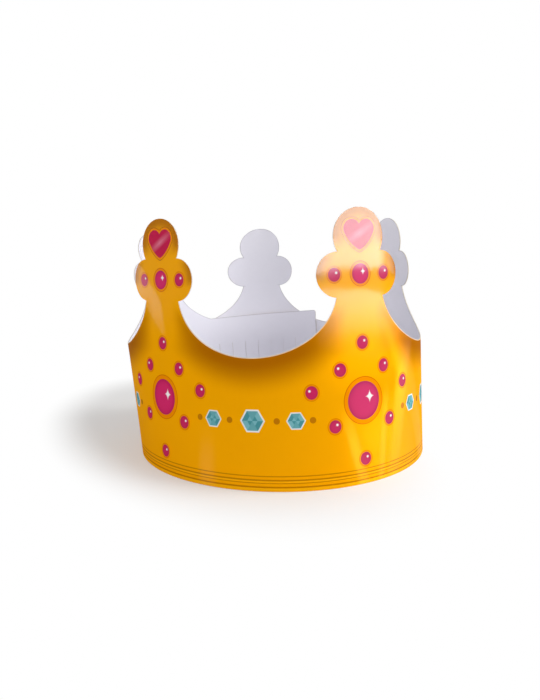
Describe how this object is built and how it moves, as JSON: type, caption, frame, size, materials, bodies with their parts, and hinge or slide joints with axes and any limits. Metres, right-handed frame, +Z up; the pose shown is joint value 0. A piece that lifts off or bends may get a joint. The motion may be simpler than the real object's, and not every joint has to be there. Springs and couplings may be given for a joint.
{
  "type": "paper crown",
  "caption": "Gold party crown cut from one strip of card, with trefoil points, printed gems and a slotted strap and tab that close the ring.",
  "frame": {"origin": "middle of the bounding box, on the surface that the rim stands on", "axes": "+Z up from the rim to the points, -Y towards the front valley, +X to the right as seen from the front"},
  "size_m": [0.1774, 0.1616, 0.1292],
  "materials": {
    "printed_card": "gloss print outside, white inside"
  },
  "bodies": {
    "root": {"crown_card": "printed_card"}
  },
  "joints": []
}
